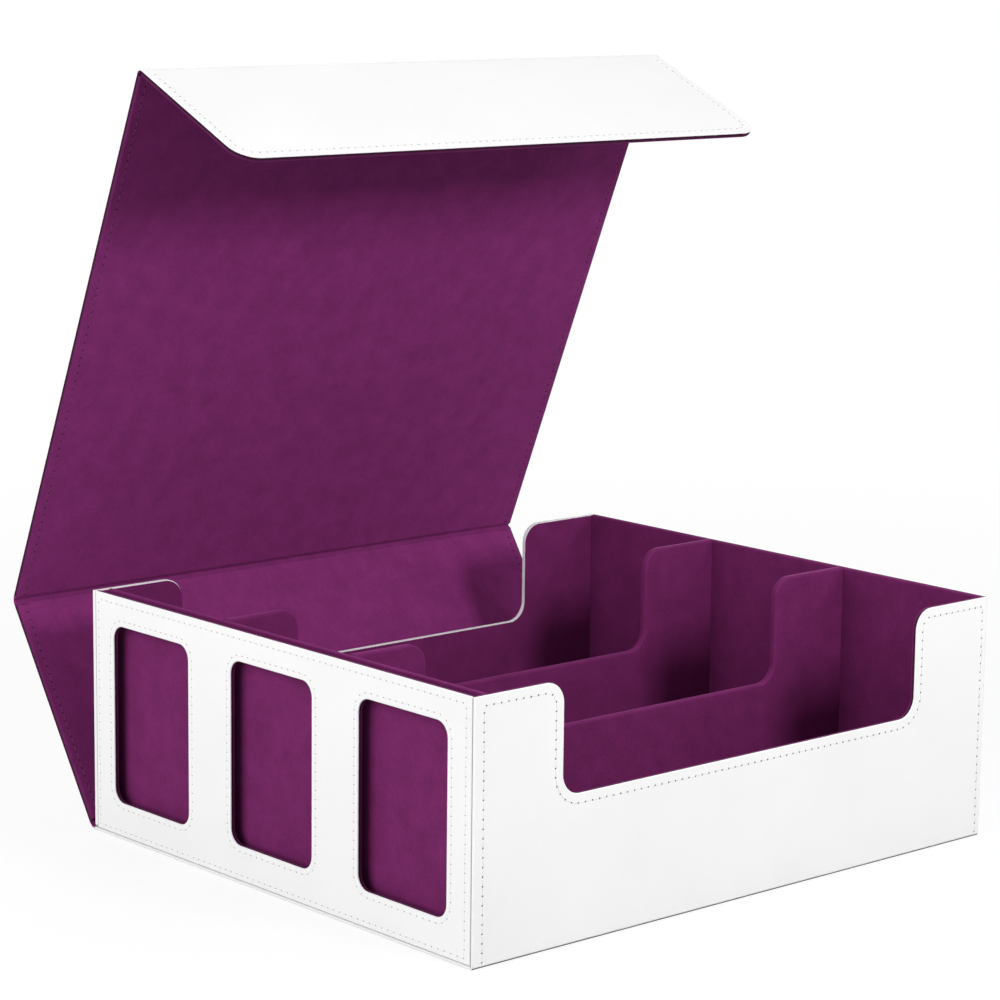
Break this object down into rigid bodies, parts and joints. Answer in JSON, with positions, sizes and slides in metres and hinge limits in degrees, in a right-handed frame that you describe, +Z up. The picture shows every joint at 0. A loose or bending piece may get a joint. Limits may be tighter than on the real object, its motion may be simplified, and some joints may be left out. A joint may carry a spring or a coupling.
{
  "type": "trading card storage box",
  "caption": "Leather-covered card box: a lined tray with divided rows, hand notches and display windows, and a fold-over magnetic cover hinged at its rear edge.",
  "frame": {"origin": "middle of the tray's underside, on the surface that it stands on", "axes": "+X along the front wall, from the display windows to the plain end; -Y out of the notched front wall, +Y towards the cover's hinge; +Z up"},
  "size_m": [0.328, 0.3503, 0.37],
  "materials": {
    "white_leather": "smooth white synthetic leather, semi-matte, stitched",
    "purple_lining": "purple microfibre suede with a short nap",
    "grey_board": "solid grey board",
    "lined_board": "grey board covered in the purple lining",
    "magnet_steel": "nickel-plated"
  },
  "bodies": {
    "tray": {"base_leather": "white_leather", "base_board": "grey_board", "floor_board": "grey_board", "floor_lining": "purple_lining", "front_wall_leather": "white_leather", "front_wall_board": "grey_board", "front_wall_lining": "purple_lining", "front_wall_keepers": "magnet_steel", "rear_wall_leather": "white_leather", "rear_wall_board": "grey_board", "rear_wall_lining": "purple_lining", "right_wall_leather": "white_leather", "right_wall_board": "grey_board", "right_wall_lining": "purple_lining", "window_wall_leather": "white_leather", "window_wall_board": "grey_board", "window_wall_lining": "purple_lining", "pocket_back_board": "grey_board", "pocket_back_lining": "purple_lining", "pocket_rail": "lined_board", "pocket_spacer_1": "lined_board", "pocket_spacer_2": "lined_board", "pocket_spacer_3": "lined_board", "pocket_spacer_4": "lined_board", "divider_board_1": "grey_board", "divider_lining_1": "purple_lining", "divider_board_2": "grey_board", "divider_lining_2": "purple_lining", "spine_fold_leather": "white_leather", "spine_fold_lining": "purple_lining"},
    "spine": {"spine_leather": "white_leather", "spine_board": "grey_board", "spine_lining": "purple_lining", "lid_fold_leather": "white_leather", "lid_fold_lining": "purple_lining"},
    "lid": {"lid_leather": "white_leather", "lid_board": "grey_board", "lid_lining": "purple_lining", "flap_fold_leather": "white_leather", "flap_fold_lining": "purple_lining"},
    "flap": {"flap_leather": "white_leather", "flap_board": "grey_board", "flap_lining": "purple_lining", "flap_magnets": "magnet_steel"}
  },
  "joints": [
    {"name": "spine_hinge", "type": "hinge", "parent": "tray", "child": "spine", "pos_m": [0, 0.14305, 0.0003], "axis": [-1, 0, 0], "range_deg": [-33.28, 56.72], "deforming": ["spine_fold_leather", "spine_fold_lining"]},
    {"name": "lid_hinge", "type": "hinge", "parent": "spine", "child": "lid", "pos_m": [0, 0.20999, 0.10229], "axis": [-1, 0, 0], "range_deg": [-34.06, 55.94], "deforming": ["lid_fold_leather", "lid_fold_lining"]},
    {"name": "flap_hinge", "type": "hinge", "parent": "lid", "child": "flap", "pos_m": [0, 0.09835, 0.36972], "axis": [1, 0, 0], "range_deg": [-92.4, 0], "deforming": ["flap_fold_leather", "flap_fold_lining"]}
  ]
}
